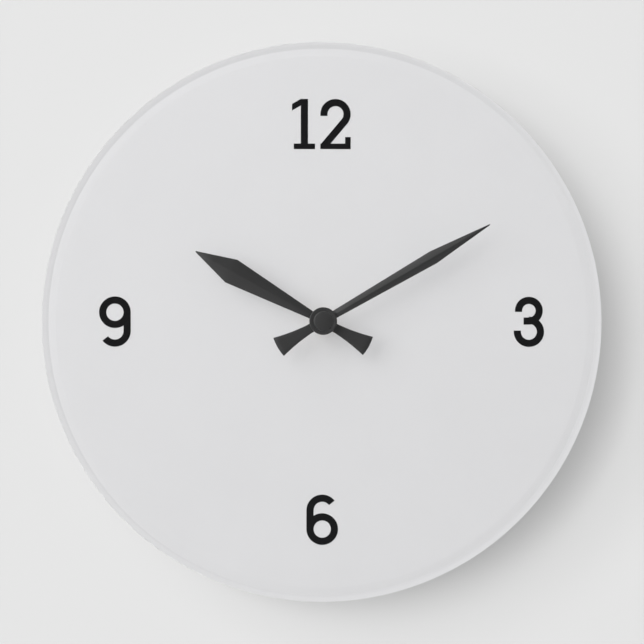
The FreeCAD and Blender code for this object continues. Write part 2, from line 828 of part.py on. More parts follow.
def contact_strip(side_x, outward):
    """Sheet that lies on a side wall from the battery bay to the board, with a tab on the board."""
    inner = side_x - outward * contact_sheet
    x_values = sorted((side_x, inner))
    pad_low, pad_high = cell_y - contact_width / 2, cell_y + contact_width / 2
    board_top = board_z + board_thickness
    tab_low = inner_high - 0.7 * board_width
    tab_high = inner_high - 0.4 * board_width
    pad = block(x_values[0], x_values[1], pad_low, pad_high, 3 * air, cover_z - 3 * air)
    strip = block(x_values[0], x_values[1], pad_low, tab_high, strip_z, strip_z + contact_strip_width)
    riser = block(x_values[0], x_values[1], tab_low, tab_high, strip_z, board_top + contact_sheet)
    tab_x = sorted((side_x, side_x - outward * 10 * air))
    tab = block(tab_x[0], tab_x[1], tab_low, tab_high, board_top, board_top + contact_sheet)
    return [pad, strip, riser, tab]


def make_positive_contact():
    """Contact strip with a pressed dimple that meets the cell's nub."""
    reach = positive_contact_room - contact_sheet - air / 2
    cell_z = cell_depth_below_back + cell_diameter / 2
    dimple = Part.makeCone(2.4 * reach + cell_nub_diameter / 4, cell_nub_diameter / 4, reach,
                           Vector(inner_right - contact_sheet, cell_y, cell_z), Vector(-1, 0, 0))
    return joined(contact_strip(inner_right, 1) + [dimple])


def make_negative_contact():
    """Contact strip with a bowed leaf that presses on the cell's flat end."""
    wall_x = inner_left + contact_sheet
    cell_left = cell_right - cell_length
    crest = cell_left - air / 2
    half = contact_width / 2
    cell_z = cell_depth_below_back + cell_diameter / 2

    def bow(offset):
        return Part.Arc(Vector(wall_x - offset, cell_y - half, 0), Vector(crest - offset, cell_y, 0),
                        Vector(wall_x - offset, cell_y + half, 0)).toShape()

    outer, inner = bow(0), bow(contact_sheet)
    ends = [Part.LineSegment(outer.Vertexes[i].Point, inner.Vertexes[i].Point).toShape() for i in (0, 1)]
    face = Part.Face(Part.Wire(Part.__sortEdges__([outer, inner] + ends)))
    face.translate(Vector(0, 0, cell_z - contact_strip_width))
    leaf = face.extrude(Vector(0, 0, 2 * contact_strip_width))
    return joined(contact_strip(inner_left, -1) + [leaf])


def make_aa_cell():
    """Round cell along X, with the nub to the right."""
    radius = cell_diameter / 2
    body_length = cell_length - cell_nub_height
    bevel = air
    cell = turned([
        (0, 0),
        (radius - bevel, 0),
        (radius, bevel),
        (radius, body_length - bevel),
        (radius - bevel, body_length),
        (cell_nub_diameter / 2, body_length),
        (cell_nub_diameter / 2, cell_length),
        (0, cell_length),
    ])
    place = Vector(cell_right - cell_length, cell_y, cell_depth_below_back + radius)
    cell.Placement = Placement(place, Rotation(Vector(0, 1, 0), 90))
    return cell


# ---------------------------------------------------------------- going train
fifth_phase = meshing_phase(0, rotor_teeth, fifth_teeth, rotor_direction + 180)
second_phase = meshing_phase(0, fifth_pinion_teeth, second_teeth, fifth_direction + 180)
third_phase = meshing_phase(0, second_pinion_teeth, third_teeth, third_direction)
centre_phase = meshing_phase(0, third_pinion_teeth, centre_teeth, third_direction + 180)
minute_phase = meshing_phase(0, cannon_teeth, minute_teeth, minute_direction)
hour_phase = meshing_phase(0, minute_pinion_teeth, hour_teeth, minute_direction + 180)
knob_phase = meshing_phase(minute_phase, minute_teeth, knob_teeth, knob_direction)
pivot_z = floor_thickness / 2 + air / 2


def make_fifth_wheel():
    disc = wheel(fifth_teeth, fifth_module, fifth_wheel_z, wheel_thickness, fifth_phase, fifth_at)
    leaves = pinion(fifth_pinion_teeth, second_module, second_wheel_z, fifth_wheel_z, 0, fifth_at)
    return joined([disc, leaves, cylinder(train_arbor_r, pivot_z, bridge_top, fifth_at)])


def make_second_wheel():
    """Wheel that turns once a minute. Its arbor runs up through the minute arbor to the cap."""
    disc = wheel(second_teeth, second_module, second_wheel_z, wheel_thickness, second_phase)
    leaves = pinion(second_pinion_teeth, third_module, third_wheel_z - air / 2, second_pinion_top, 0)
    return joined([disc, leaves, cylinder(second_arbor_r, pivot_z, second_arbor_top)])


def make_third_wheel():
    disc = wheel(third_teeth, third_module, third_wheel_z, wheel_thickness, third_phase, third_at)
    leaves = pinion(third_pinion_teeth, centre_module, third_wheel_top, centre_wheel_top + air / 2, 0, third_at)
    return joined([disc, leaves, cylinder(train_arbor_r, pivot_z, bridge_top, third_at)])


def make_centre_wheel():
    """Wheel that turns once an hour, free on the minute arbor but for the friction of its clutch."""
    disc = wheel(centre_teeth, centre_module, centre_wheel_z, wheel_thickness, centre_phase)
    return pierced(disc, minute_arbor_r + running_fit)


def make_clutch_spring():
    """Dished washer, pressed on the minute arbor, that grips the centre wheel."""
    low = centre_wheel_top + running_fit
    high = centre_wheel_top + clutch_height
    outer = minute_arbor_r + boss_wall
    return turned([(minute_arbor_r, high - clutch_sheet), (outer, low), (outer, low + clutch_sheet),
                   (minute_arbor_r, high)])


# ---------------------------------------------------------------- motion work
def make_minute_arbor():
    """Brass tube with the clutch's collar at its inner end and the cannon pinion in front of the bridge."""
    post = cylinder(minute_arbor_r, minute_arbor_z, minute_arbor_top)
    collar = cylinder(minute_arbor_r + boss_wall, minute_arbor_z, centre_wheel_z - running_fit)
    leaves = pinion(cannon_teeth, minute_module, cannon_z, cannon_top, 0)
    return pierced(joined([post, collar, leaves]), minute_bore_r)


def make_minute_wheel():
    disc = wheel(minute_teeth, minute_module, minute_wheel_z, motion_wheel_thickness, minute_phase, minute_at)
    leaves = pinion(minute_pinion_teeth, hour_module, minute_wheel_top, minute_pinion_top, 0, minute_at)
    return pierced(joined([disc, leaves]), stud_diameter / 2 + running_fit, minute_at)


def make_hour_wheel():
    hub_r = hour_pipe_r + boss_wall
    disc = wheel(hour_teeth, hour_module, hour_wheel_z, motion_wheel_thickness, hour_phase)
    hub = cylinder(hub_r, hour_wheel_z, hour_hub_top)
    pipe = cylinder(hour_pipe_r, hour_wheel_z, hour_collet_top)
    return pierced(joined([disc, hub, pipe]), hour_bore_r)


def make_setting_knob():
    """Fluted thumb wheel in a well of the back, on a stem that reaches past the bridge."""
    top = knob_below_back + knob_height
    flute = knob_diameter / knob_flutes
    stations = ((-knob_flute_depth / flute, 0.75), (0, 0.45))
    knob = polygon_prism(toothed_outline(knob_flutes, flute, stations, 0, knob_at), knob_below_back, top)
    dish = cylinder(knob_dish_diameter / 2, knob_below_back, knob_below_back + knob_dish_depth, knob_at)
    stem = cylinder(knob_stem_diameter / 2, top, cannon_top, knob_at)
    return joined([knob.cut(dish), stem])


def make_knob_pinion():
    leaves = pinion(knob_teeth, minute_module, cannon_z, cannon_top, knob_phase, knob_at)
    return pierced(leaves, knob_stem_diameter / 2, knob_at)


# ---------------------------------------------------------------- files
def save(name, shape):
    shape = shape.copy()
    shape.rotate(centre, Vector(1, 0, 0), 90)
    shape.exportStep(os.path.join("parts", name + ".step"))


def main():
    os.makedirs("parts", exist_ok=True)
    save("acrylic_disc", make_disc())
    save("cushion_washer", make_cushion_washer())
    save("dial_washer", make_dial_washer())
    save("dial_nut", make_nut())
    save("hour_hand", make_hour_hand())
    save("hour_hand_bush", collet(hour_pipe_r, hour_collet_z, hour_hand_z))
    save("minute_hand", make_minute_hand())
    save("minute_hand_bush", collet(minute_arbor_r, minute_collet_z, minute_hand_z))
    save("centre_cap", make_cap())
    save("rear_case", make_rear_case())
    save("front_case", make_front_case())
    save("centre_bush", make_centre_bush())
    save("hanger", make_hanger())
    save("train_bridge", make_train_bridge())
    save("rotor_magnet", make_rotor_magnet())
    save("rotor_pinion", make_rotor_pinion())
    save("stator", make_stator())
    save("coil_core", make_coil_core())
    save("coil_bobbin", make_coil_bobbin())
    save("coil_winding", make_coil_winding())
    save("circuit_board", make_circuit_board())
    save("ic_blob", make_ic_blob())
    save("quartz_crystal", make_quartz_crystal())
    save("positive_contact", make_positive_contact())
    save("negative_contact", make_negative_contact())
    save("aa_cell", make_aa_cell())
    save("fifth_wheel", make_fifth_wheel())
    save("second_wheel", make_second_wheel())
    save("third_wheel", make_third_wheel())
    save("centre_wheel", make_centre_wheel())
    save("clutch_spring", make_clutch_spring())
    save("minute_arbor", make_minute_arbor())
    save("minute_wheel", make_minute_wheel())
    save("hour_wheel", make_hour_wheel())
    save("setting_knob", make_setting_knob())
    save("knob_pinion", make_knob_pinion())


main()
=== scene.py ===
import json
import math

import bmesh
import bpy
from mathutils import Matrix, Vector


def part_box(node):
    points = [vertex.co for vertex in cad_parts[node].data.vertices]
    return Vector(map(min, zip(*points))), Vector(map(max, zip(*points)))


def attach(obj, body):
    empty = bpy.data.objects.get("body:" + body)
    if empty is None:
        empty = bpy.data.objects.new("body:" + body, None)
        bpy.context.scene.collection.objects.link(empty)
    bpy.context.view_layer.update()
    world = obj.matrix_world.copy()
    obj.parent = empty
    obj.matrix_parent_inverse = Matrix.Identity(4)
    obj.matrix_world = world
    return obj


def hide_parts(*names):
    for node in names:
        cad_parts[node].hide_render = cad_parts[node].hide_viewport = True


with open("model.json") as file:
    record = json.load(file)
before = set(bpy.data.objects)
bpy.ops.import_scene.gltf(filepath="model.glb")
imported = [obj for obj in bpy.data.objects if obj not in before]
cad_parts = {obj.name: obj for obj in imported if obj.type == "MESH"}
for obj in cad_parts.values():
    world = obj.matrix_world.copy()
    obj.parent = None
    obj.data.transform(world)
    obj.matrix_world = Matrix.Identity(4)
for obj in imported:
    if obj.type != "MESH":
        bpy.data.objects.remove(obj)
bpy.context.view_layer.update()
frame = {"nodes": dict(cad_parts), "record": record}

mm = 0.001
nodes = frame["nodes"]
weld = 0.0005 * mm              # corners that are nearer than this are one
near = 0.01 * mm                # places that are nearer than this count as the same
turning_steps = 96              # round a small turned piece

# disc and its print, in metres
disc_bore_radius = 4.2 * mm
disc_edge_radius = 2.9 * mm
disc_back_edge = 0.3 * mm
disc_loop_gap = 0.4 * mm        # from the end of a rounded edge to the next loop of corners
disc_steps = 288
print_thickness = 0.03 * mm
print_blur = 0.2 * mm
rim_slope_radius = 129.7 * mm   # the print dips from here to the band at the rim
# from here out to the rim the print is painted darker, as painted shade of the rounded edge, and
# its relief rises
rim_band_radius = 133.3 * mm
rim_band_width = 3.2 * mm
rim_slope_depth = 0.19          # in millimetres, as the two heights of the print's relief
rim_rise = 0.25

# figures
numeral_height = 24.5 * mm
stem_width = 3.5 * mm
slab_height = 2.7 * mm
numeral_gap = 2.6 * mm          # between the two figures of twelve
side_numeral_offset = 101 * mm  # from the hub to the middle of a figure
end_numeral_offset = 96.5 * mm
ink_thickness = 0.05 * mm
ink_to_print = 0.01 * mm
bend_step = 5                   # degrees between the corners of a round stretch

# hands; an angle is in degrees, clockwise from twelve
hand_sheet = 0.5 * mm
hand_edge = 0.08 * mm
hand_hub_radius = 5.8 * mm
hand_hub_steps = 64
ridge_start = 6.5 * mm          # under the edge of the cap
hand_root = 7.8 * mm            # radius where the root widths and slopes below hold
slope_settled = 18.0 * mm
hand_tip_width = 0.5 * mm
hands = {
    "hour_hand": {
        "angle": 298.7, "length": 70.5 * mm, "bore_radius": 3.4 * mm, "root_width": 4.2 * mm,
        "broad_at": 50.7 * mm, "broad_width": 12.5 * mm, "root_slope": 0.06, "slope": 0.17,
    },
    "minute_hand": {
        "angle": 59.9, "length": 93.8 * mm, "bore_radius": 2.65 * mm, "root_width": 4.0 * mm,
        "broad_at": 62.0 * mm, "broad_width": 6.7 * mm, "root_slope": 0.38, "slope": 0.26,
    },
}
blade_stations = (0, 0.45, 0.88, 1)  # shares of the way to the broad place
point_stations = (0.12, 0.5, 1)      # and from there to the tip
ridge_softness = 0.14           # share of the half width over which the ridge is rounded
# corners of a section, as shares of half its width
across = (-1, -0.55, -ridge_softness, -0.06, 0, 0.06, ridge_softness, 0.55, 1)
tail_length = 25.5 * mm
tail_root_width = 4.5 * mm
tail_end_width = 10.2 * mm
tail_side_hollow = 0.42 * mm
tail_steps = 8

# cap
cap_rim_radius = 0.4 * mm       # of the rounding at the rim
cap_dish = 0.2 * mm             # how far the ring round the top rises to the rim
cap_top_radius = 4.8 * mm
cap_top_height = 1.0 * mm
cap_top_bevel = 0.45 * mm
cap_corner = 0.12 * mm
cap_bore_radius = 1.75 * mm
cap_roof = 0.8 * mm

# cell
cell_nub_radius = 2.7 * mm
cell_nub_height = 1.0 * mm
cell_nub_corner = 0.35 * mm
cell_shoulder_radii = (3.0 * mm, 3.4 * mm)  # at its top and its foot
cell_ring_radii = (4.6 * mm, 4.9 * mm, 5.6 * mm, 5.8 * mm)  # raised ring of the minus end
cell_plate_sink = 0.12 * mm     # of the plate inside that ring
cell_end_sink = 0.35 * mm       # of the can's ends below the ring and the shoulder
jacket_sink_minus = 0.2 * mm
jacket_sink_plus = 0.15 * mm
jacket_overlap = 1.1 * mm       # how far the jacket turns in over the can's ends
jacket_corner = 0.55 * mm
jacket_ring = (12 * mm, 14 * mm)  # its pale ring, along the can

# case, hanger and knob
moulding_corner = 0.3 * mm
hanger_corner = 0.1 * mm
knob_corner = 0.15 * mm
panel_sides = (-23.2 * mm, 10.2 * mm)  # sunk panel on the case's back
panel_ends = (-7.2 * mm, 16.2 * mm)
panel_slope = 0.2 * mm
panel_depth = 0.14              # in millimetres, as the depth of the pins' marks
ejector_pins = ((-22, 21), (22, 21), (-22, -3), (16, 15))  # x and z, in millimetres
pin_mark_radii = (1.5 * mm, 1.7 * mm, 1.8 * mm, 2.0 * mm)
pin_mark_depth = 0.05
case_back_level = (-0.5 * mm, -0.3 * mm)  # its back lies behind, all other faces in front
sign_height = 0.18 * mm
sign_corner = 0.06 * mm
sign_arm, sign_bar, sign_inset = 2.2, 1.0, 6.0  # in millimetres, as the arrow's radii
arrow_inner, arrow_outer = 1.7, 2.4
arrow_sweep = 250               # degrees
arrow_tip_bearing = math.radians(163)
arrow_tip_turn = math.radians(10)
arrow_tip_radius = 1.05 * mm
arrow_corner = 0.05 * mm
knob_dish_depth = 0.5 * mm

# camera
picture_pixels = 644
millimetres_per_pixel = 0.4875
camera_distance = 2.4
camera_target = Vector((-0.12, -20.3, -0.16)) * mm
camera_left = math.radians(2.06)  # off the dial's normal
camera_below = math.radians(1.26)

upright = Matrix.Rotation(math.radians(90), 4, "X")


# ------------------------------------------------------------ node trees
class Signal:
    """A socket of a finish. Arithmetic on it adds Math nodes."""

    def __init__(self, finish, socket):
        self.finish = finish
        self.socket = socket

    def combined(self, operation, first, second):
        return self.finish.node("ShaderNodeMath", {"operation": operation}, {0: first, 1: second})

    def __add__(self, other):
        return self.combined("ADD", self, other)

    __radd__ = __add__

    def __sub__(self, other):
        return self.combined("SUBTRACT", self, other)

    def __rsub__(self, other):
        return self.combined("SUBTRACT", other, self)

    def __mul__(self, other):
        return self.combined("MULTIPLY", self, other)

    __rmul__ = __mul__


class Finish:
    """The node tree of a material, a lamp or the world while it is made."""

    def __init__(self, owner):
        self.owner = owner
        owner.use_nodes = True
        self.tree = owner.node_tree
        self.tree.nodes.clear()

    def node(self, kind, settings=None, inputs=None, output=0):
        """Adds a node: its settings first, then the values or links of its sockets."""
        made = self.tree.nodes.new(kind)
        for setting, value in (settings or {}).items():
            setattr(made, setting, value)
        for name, value in (inputs or {}).items():
            if isinstance(value, Signal):
                self.tree.links.new(value.socket, made.inputs[name])
            else:
                made.inputs[name].default_value = value
        return Signal(self, made.outputs[output]) if made.outputs else None

    def place(self, stretch=(1, 1, 1)):
        """Where a point is on the piece, in metres."""
        spot = self.node("ShaderNodeTexCoord", output="Object")
        return self.node("ShaderNodeMapping", inputs={"Vector": spot, "Scale": stretch})

    def along(self, axis):
        """How far a point is along an axis, in metres."""
        return self.node("ShaderNodeSeparateXYZ", inputs={0: self.place()}, output=axis)

    def speckle(self, size, detail=2.0, stretch=(1, 1, 1)):
        """Irregular spots of a size, drawn out along an axis whose stretch is below 1."""
        return self.node("ShaderNodeTexNoise", inputs={
            "Vector": self.place(stretch), "Scale": 1 / size, "Detail": detail})

    def from_point(self, point, plane=(1, 1, 1)):
        """Distance from a point, in metres, along the axes that the plane keeps."""
        return self.node("ShaderNodeVectorMath", {"operation": "DISTANCE"},
                         {0: self.place(plane), 1: point}, "Value")

    def from_hub(self):
        """Distance from the arbor line, in metres."""
        return self.from_point((0, 0, 0), (1, 0, 1))

    def towards(self, direction, place):
        """How far a place lies in a direction."""
        return self.node("ShaderNodeVectorMath", {"operation": "DOT_PRODUCT"},
                         {0: place, 1: direction}, "Value")

    def ray(self, kind):
        """1 for a ray of the kind, and else 0."""
        return self.node("ShaderNodeLightPath", output=f"Is {kind} Ray")

    def ramp(self, value, start, end):
        """Goes smoothly from 0 to 1 as the value goes from start to end."""
        return self.node("ShaderNodeMapRange", {"interpolation_type": "SMOOTHSTEP"},
                         {"Value": value, "From Min": start, "From Max": end})

    def between_0_and_1(self, value, start, end):
        """Goes evenly from 0 to 1 as the value goes from start to end."""
        return self.node("ShaderNodeMapRange",
                         inputs={"Value": value, "From Min": start, "From Max": end})

    def between(self, share, low, high):
        """A colour between two others."""
        return self.node("ShaderNodeMix", {"data_type": "RGBA"},
                         {0: share, 6: opaque(low), 7: opaque(high)}, output=2)

    def surface(self, colour, roughness, height=None, depth=0.0, **fixed):
        """A Principled surface. The height pattern stands up by the depth."""
        inputs = {"Base Color": opaque(colour), "Roughness": roughness}
        inputs.update({name.replace("_", " "): value for name, value in fixed.items()})
        if height is not None:
            inputs["Normal"] = self.node("ShaderNodeBump", inputs={
                "Strength": 1.0, "Distance": depth, "Height": height})
        return self.node("ShaderNodeBsdfPrincipled", inputs=inputs)

    def clear_where(self, share, otherwise):
        """Nothing at all where the share is 1, and another shader where it is 0."""
        nothing = self.node("ShaderNodeBsdfTransparent")
        return self.node("ShaderNodeMixShader", inputs={0: share, 1: otherwise, 2: nothing})

    def finished(self, shader):
        outputs = {bpy.types.World: "ShaderNodeOutputWorld",
                   bpy.types.AreaLight: "ShaderNodeOutputLight"}
        self.node(outputs.get(type(self.owner), "ShaderNodeOutputMaterial"),
                  inputs={"Surface": shader})
        return self.owner


def opaque(colour):
    return colour if isinstance(colour, Signal) else (*colour, 1.0)


def grey(level):
    return (level, level, level)


def shaded(colour, share):
    return tuple(min(1.0, channel * share) for channel in colour)


def new_finish(name):
    return Finish(bpy.data.materials.new(name))


# ------------------------------------------------------------ finishes
black = (0.026, 0.026, 0.028)
hand_black = (0.0235, 0.0235, 0.0238)


def clear_acrylic():
    """Cast acrylic that lamps shine through, with faint wipe marks."""
    finish = new_finish("clear_acrylic")
    wipes = finish.speckle(22 * mm, 3.0, (1, 1, 0.35))
    glass = finish.surface(grey(1), 0.008 + 0.02 * wipes,
                           Transmission_Weight=1.0, IOR=1.49, Specular_IOR_Level=0.2)
    return finish.finished(finish.clear_where(finish.ray("Shadow") + finish.ray("Diffuse"), glass))


def white_print_and_rim_shade():
    """White ink on the back of the disc, a little uneven in its cover; in a band at the rim it is
    painted darker, as painted shade of the rounded edge.
    """
    finish = new_finish("white_print_and_rim_shade")
    cover = finish.speckle(35 * mm)
    dots = finish.speckle(0.35 * mm)
    out = finish.from_hub()
    colour = finish.between(0.75 * cover + 0.25 * dots, (0.72, 0.72, 0.73), (0.75, 0.75, 0.76))
    # painted shade: past the band's radius the print's colour is darker
    painted_rim_shade = finish.ramp(out, rim_band_radius - print_blur, rim_band_radius + print_blur)
    colour = finish.between(painted_rim_shade, colour, (0.695, 0.695, 0.705))
    rise = finish.between_0_and_1(out, rim_band_radius, rim_band_radius + rim_band_width)
    dip = finish.between_0_and_1(out, rim_slope_radius, rim_band_radius)
    relief = rim_rise * rise - rim_slope_depth * dip + 0.004 * dots
    return finish.finished(finish.surface(colour, 0.5 + 0.12 * dots, relief, 1.0 * mm,
                                          Specular_IOR_Level=0.0))


def black_ink():
    """Ink of the figures, laid in fine dots."""
    finish = new_finish("black_ink")
    dots = finish.speckle(0.3 * mm)
    colour = finish.between(dots, (0.005, 0.005, 0.0055), (0.011, 0.011, 0.012))
    return finish.finished(finish.surface(colour, 0.5 + 0.14 * dots, dots, 0.002 * mm,
                                          Specular_IOR_Level=0.0))


def satin_paint(name, colour, roughness):
    """Sprayed paint: a slight peel, and a few finer grains."""
    finish = new_finish(name)
    peel = finish.speckle(0.9 * mm)
    grains = finish.speckle(0.12 * mm, 1.0)
    drift = finish.speckle(18 * mm)
    shade = finish.between(0.5 * drift + 0.5 * grains, shaded(colour, 0.86), shaded(colour, 1.14))
    return finish.finished(finish.surface(shade, roughness - 0.06 + 0.12 * peel,
                                          0.7 * peel + 0.3 * grains, 0.008 * mm,
                                          Coat_Weight=0.15, Coat_Roughness=0.3))


def moulded(name, colour, roughness, pit_size=0.22 * mm, pit_depth=0.012 * mm):
    """Moulded plastic with a sparked texture and a slow drift of its shade."""
    finish = new_finish(name)
    pits = finish.speckle(pit_size)
    flow = finish.speckle(11 * mm, 3.0)
    shade = finish.between(0.6 * flow + 0.4 * pits, shaded(colour, 0.88), shaded(colour, 1.12))
    return finish.finished(finish.surface(shade, roughness - 0.07 + 0.14 * flow, pits, pit_depth))


def case_moulding():
    """The case's plastic with a sunk panel on its back and the round marks of ejector pins."""
    finish = new_finish("case_moulding")
    pits = finish.speckle(0.22 * mm)
    flow = finish.speckle(11 * mm, 3.0)
    shade = finish.between(0.6 * flow + 0.4 * pits, shaded(black, 0.88), shaded(black, 1.12))
    panel = 1.0
    for axis, (low, high) in (("X", panel_sides), ("Z", panel_ends)):
        spot = finish.along(axis)
        panel = (panel * finish.ramp(spot, low - panel_slope, low + panel_slope)
                 * finish.ramp(spot, high + panel_slope, high - panel_slope))
    pins = 0.0
    foot, top, far_top, far_foot = pin_mark_radii
    for x, z in ejector_pins:
        reach = finish.from_point((x * mm, 0, z * mm))
        pins = pins + finish.ramp(reach, foot, top) * finish.ramp(reach, far_foot, far_top)
    on_back = finish.ramp(finish.along("Y"), *case_back_level)
    relief = 0.012 * pits - on_back * (panel_depth * panel + pin_mark_depth * pins)
    return finish.finished(finish.surface(shade, 0.45 + 0.14 * flow, relief, 1.0 * mm))


def rolled_metal(name, colour, roughness, stretch):
    """Sheet or wire with fine drawn lines along the axis whose stretch is small."""
    finish = new_finish(name)
    lines = finish.speckle(0.08 * mm, 2.0, stretch)
    bloom = finish.speckle(4 * mm, 3.0)
    shade = finish.between(0.5 * lines + 0.5 * bloom, shaded(colour, 0.86), shaded(colour, 1.08))
    return finish.finished(finish.surface(shade, roughness - 0.08 + 0.16 * bloom,
                                          lines, 0.002 * mm, Metallic=1.0))


def turned_metal(name, colour, roughness):
    """Metal off the lathe: fine rings about the arbor line."""
    finish = new_finish(name)
    rings = finish.node("ShaderNodeTexNoise", {"noise_dimensions": "1D"},
                        {"W": finish.from_hub(), "Scale": 1 / (0.07 * mm), "Detail": 2.0})
    bloom = finish.speckle(3 * mm, 3.0)
    shade = finish.between(0.6 * rings + 0.4 * bloom, shaded(colour, 0.88), shaded(colour, 1.08))
    return finish.finished(finish.surface(shade, roughness - 0.06 + 0.12 * bloom,
                                          rings, 0.003 * mm, Metallic=1.0))


def copper_turns():
    """Enamelled wire: turns side by side across the coil."""
    finish = new_finish("copper_turns")
    turns = finish.node("ShaderNodeTexWave", {"wave_type": "BANDS", "bands_direction": "X"},
                        {"Vector": finish.place(), "Scale": 1 / (2.2 * mm), "Distortion": 0.4,
                         "Detail": 1.0})
    shade = finish.between(turns, (0.36, 0.12, 0.045), (0.72, 0.31, 0.14))
    return finish.finished(finish.surface(shade, 0.26 + 0.1 * turns, turns, 0.03 * mm,
                                          Metallic=1.0, Coat_Weight=0.6, Coat_Roughness=0.15))


def green_board():
    """Solder mask over a woven board."""
    finish = new_finish("green_board")
    weave = finish.speckle(0.5 * mm, 1.0, (1, 0.3, 1))
    patches = finish.ramp(finish.speckle(2.2 * mm, 1.0), 0.46, 0.54)
    shade = finish.between(patches, (0.045, 0.17, 0.085), (0.085, 0.27, 0.14))
    return finish.finished(finish.surface(shade, 0.32 + 0.1 * weave, weave, 0.008 * mm))


def cell_jacket():
    """Plain printed film over the can: a deep band, a pale ring and a long blue-grey sleeve."""
    finish = new_finish("cell_jacket")
    along = finish.along("X")
    scuffs = finish.speckle(1.6 * mm, 3.0, (0.25, 1, 1))
    past_start, past_end = (finish.ramp(along, edge - print_blur / 2, edge + print_blur / 2)
                            for edge in jacket_ring)
    colour = finish.between(scuffs, (0.095, 0.16, 0.24), (0.13, 0.205, 0.3))
    colour = finish.between(past_start, colour, (0.62, 0.63, 0.64))
    colour = finish.between(past_end, colour, (0.035, 0.045, 0.065))
    return finish.finished(finish.surface(colour, 0.2 + 0.16 * scuffs, scuffs, 0.006 * mm,
                                          Coat_Weight=0.5, Coat_Roughness=0.12))


slot_finishes = {
    "acrylic": clear_acrylic(),
    "dark_paint": satin_paint("hand_paint", hand_black, 0.34),
    "dark_cap": satin_paint("cap_paint", hand_black, 0.34),
    "brass": turned_metal("turned_brass", (0.72, 0.53, 0.24), 0.26),
    "washer_steel": turned_metal("plated_washer", (0.62, 0.62, 0.63), 0.3),
    "arbor_steel": turned_metal("arbor_steel", (0.52, 0.52, 0.54), 0.25),
    "contact_steel": rolled_metal("contact_nickel", (0.68, 0.67, 0.63), 0.27, (1, 1, 0.05)),
    "case_black": moulded("case_black", black, 0.52),
    "washer_rubber": moulded("washer_rubber", (0.02, 0.02, 0.021), 0.75, 0.4 * mm, 0.02 * mm),
    "bridge_plastic": moulded("natural_acetal", (0.68, 0.665, 0.6), 0.42, 0.3 * mm, 0.006 * mm),
    "wheel_white": moulded("white_acetal", (0.76, 0.76, 0.73), 0.38, 0.3 * mm, 0.004 * mm),
    "knob_white": moulded("knob_white", (0.74, 0.74, 0.71), 0.42, 0.26 * mm, 0.01 * mm),
    "magnet": moulded("sintered_magnet", (0.055, 0.055, 0.06), 0.6, 0.12 * mm, 0.01 * mm),
    "soft_iron": rolled_metal("soft_iron", (0.4, 0.4, 0.41), 0.42, (0.06, 1, 1)),
    "copper_wire": copper_turns(),
    "board_green": green_board(),
    "resin_black": moulded("potting_resin", (0.012, 0.012, 0.013), 0.2, 1.2 * mm, 0.02 * mm),
    "crystal_can": rolled_metal("tinned_can", (0.66, 0.66, 0.68), 0.3, (0.08, 1, 1)),
    "cell_jacket": cell_jacket(),
}
print_finish = white_print_and_rim_shade()
ink_finish = black_ink()
case_back = case_moulding()
plated_steel = rolled_metal("plated_steel", (0.6, 0.6, 0.605), 0.34, (1, 1, 0.04))
cell_steel = turned_metal("cell_steel", (0.64, 0.64, 0.63), 0.24)


# ------------------------------------------------------------ making pieces
def as_object(name, shape):
    """An object of a shape, with its place in its mesh."""
    mesh = bpy.data.meshes.new(name)
    shape.to_mesh(mesh)
    shape.free()
    made = bpy.data.objects.new(name, mesh)
    bpy.context.scene.collection.objects.link(made)
    return made


def add_piece(name, shape, finishes, body, stands_for=(), crease=35):
    """Makes a piece of a shape, smooth except at its creases, and seats it on a body."""
    bmesh.ops.remove_doubles(shape, verts=shape.verts, dist=weld)
    bmesh.ops.recalc_face_normals(shape, faces=shape.faces)
    piece = as_object(name, shape)
    piece.data.shade_smooth()
    piece.data.set_sharp_from_angle(angle=math.radians(crease))
    for finish in finishes:
        piece.data.materials.append(finish)
    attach(piece, body)
    if stands_for:
        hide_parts(*stands_for)
    return piece


def corners_of(geometry):
    return [part for part in geometry if isinstance(part, bmesh.types.BMVert)]


def edges_of(geometry):
    return [part for part in geometry if isinstance(part, bmesh.types.BMEdge)]


def turned(profile, steps=turning_steps, closed=False):
    """Spins a profile of (radius, y) corners about the arbor line."""
    shape = bmesh.new()
    corners = [shape.verts.new((radius, y, 0)) for radius, y in profile]
    sides = [shape.edges.new(pair) for pair in zip(corners, corners[1:])]
    if closed:
        sides.append(shape.edges.new((corners[-1], corners[0])))
    bmesh.ops.spin(shape, geom=corners + sides, cent=(0, 0, 0), axis=(0, 1, 0),
                   angle=2 * math.pi, steps=steps, use_merge=True)
    bmesh.ops.remove_doubles(shape, verts=shape.verts, dist=weld)
    return shape


def hoop(shape, radius, y):
    """Edges of the circle at a radius and a depth."""
    def on_it(corner):
        return (abs(math.hypot(corner.co.x, corner.co.z) - radius) < near
                and abs(corner.co.y - y) < near)
    return [edge for edge in shape.edges if all(on_it(corner) for corner in edge.verts)]


def round_off(shape, edges, offset, segments):
    bmesh.ops.bevel(shape, geom=edges, offset=offset, offset_type="OFFSET", affect="EDGES",
                    segments=segments, profile=0.5, material=-1, clamp_overlap=True)


def thickened(shape, by):
    """Flat or curved sheets made solid by drawing them out."""
    drawn = bmesh.ops.extrude_face_region(shape, geom=list(shape.faces), use_keep_orig=True)
    bmesh.ops.translate(shape, verts=corners_of(drawn["geom"]), vec=by)
    bmesh.ops.recalc_face_normals(shape, faces=shape.faces)
    return shape


def fused(solids):
    """One skin round solids that run into each other."""
    holders = [as_object("fusing", solid) for solid in solids]
    for added in holders[1:]:
        union = holders[0].modifiers.new("union", "BOOLEAN")
        union.operation, union.solver, union.object = "UNION", "MANIFOLD", added
    evaluated = holders[0].evaluated_get(bpy.context.evaluated_depsgraph_get())
    skin = bpy.data.meshes.new_from_object(evaluated)
    shape = bmesh.new()
    shape.from_mesh(skin)
    for spare in [holder.data for holder in holders] + [skin]:
        bpy.data.meshes.remove(spare)
    return shape


